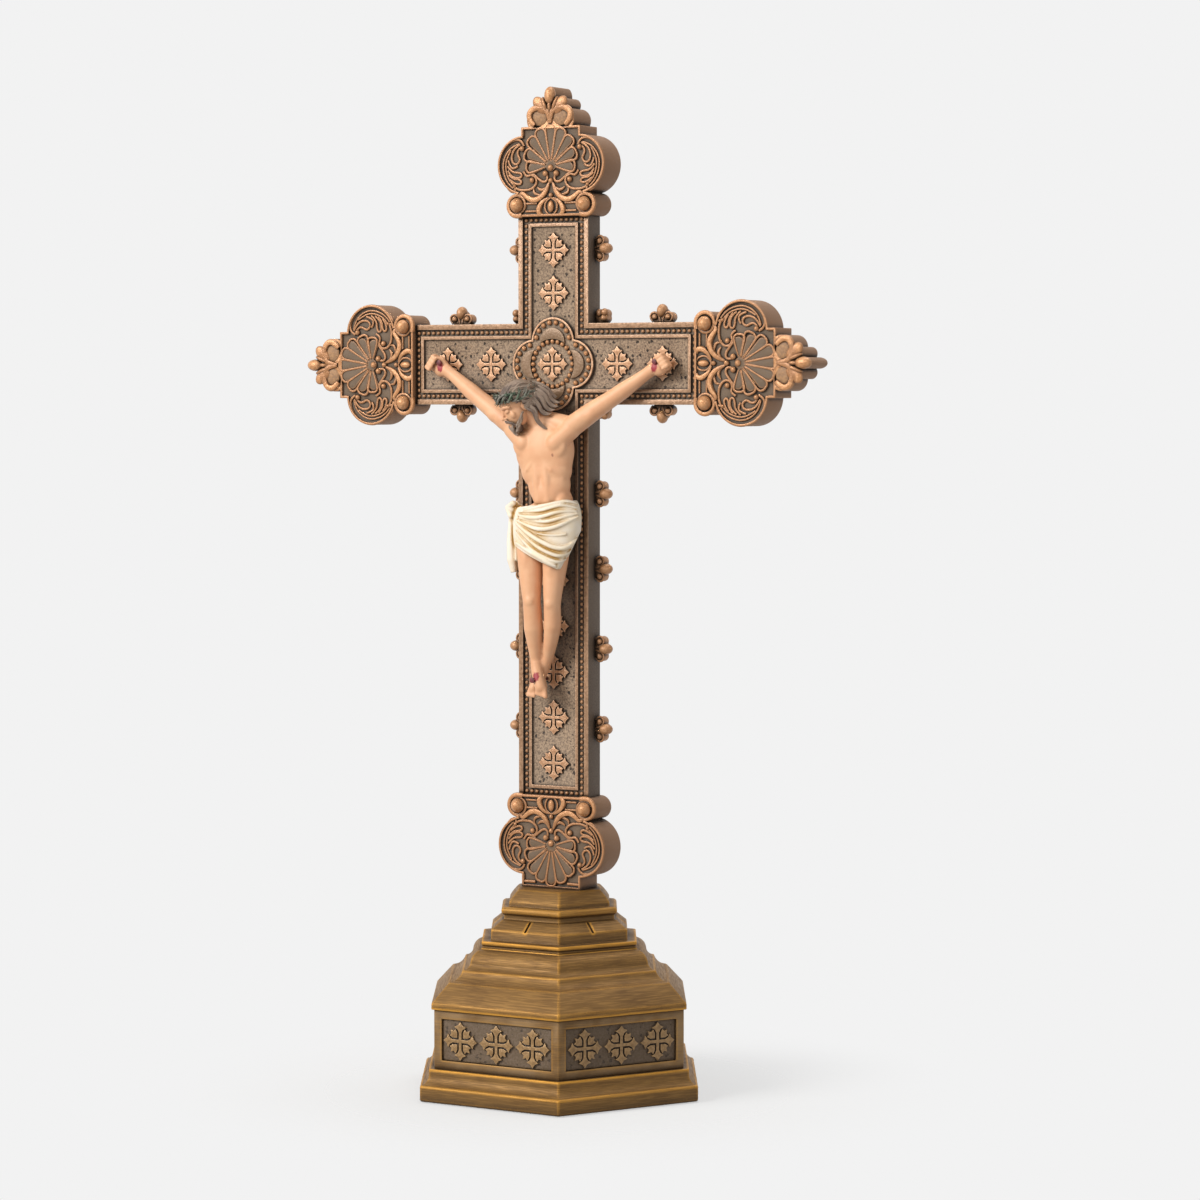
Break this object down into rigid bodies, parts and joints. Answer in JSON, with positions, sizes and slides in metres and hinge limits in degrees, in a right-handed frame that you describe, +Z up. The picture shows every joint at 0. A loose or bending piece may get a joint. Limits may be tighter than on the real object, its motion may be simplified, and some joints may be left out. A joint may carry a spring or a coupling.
{
  "type": "standing crucifix",
  "caption": "Standing crucifix: a cast cross with shell terminals, crockets and a painted figure, on a stepped hexagonal plinth.",
  "frame": {"origin": "middle of the underside of the plinth, on the surface it stands on", "axes": "+Z up the cross, -Y out of its front, +X to the viewer's right along the beam"},
  "size_m": [0.2314, 0.1096, 0.4],
  "materials": {
    "felt": "matte",
    "gilt_bronze": "satin",
    "dark_bronze": "satin",
    "copper_bronze": "satin",
    "steel": "brushed",
    "painted_skin": "matte",
    "painted_cloth": "matte",
    "painted_thorns": "matte"
  },
  "bodies": {
    "root": {"felt_pad": "felt", "plinth_foot": "gilt_bronze", "plinth_die": "gilt_bronze", "plinth_cap": "gilt_bronze", "plinth_panel_1": "dark_bronze", "plinth_panel_2": "dark_bronze", "plinth_panel_3": "dark_bronze", "plinth_panel_4": "dark_bronze", "plinth_panel_5": "dark_bronze", "plinth_panel_6": "dark_bronze", "tie_rod": "steel", "tie_washer": "steel", "tie_nut": "steel", "cross_body": "copper_bronze", "terminal_top": "copper_bronze", "terminal_left": "copper_bronze", "terminal_right": "copper_bronze", "terminal_foot": "copper_bronze", "medallion": "copper_bronze", "upright_florets": "copper_bronze", "beam_florets": "copper_bronze", "crockets_left": "copper_bronze", "crockets_right": "copper_bronze", "crockets_beam_top": "copper_bronze", "crockets_beam_bottom": "copper_bronze", "corner_crockets": "copper_bronze", "corpus": "painted_skin", "arm_left": "painted_skin", "arm_right": "painted_skin", "head": "painted_skin", "loincloth": "painted_cloth", "crown": "painted_thorns", "nails": "steel"}
  },
  "joints": []
}
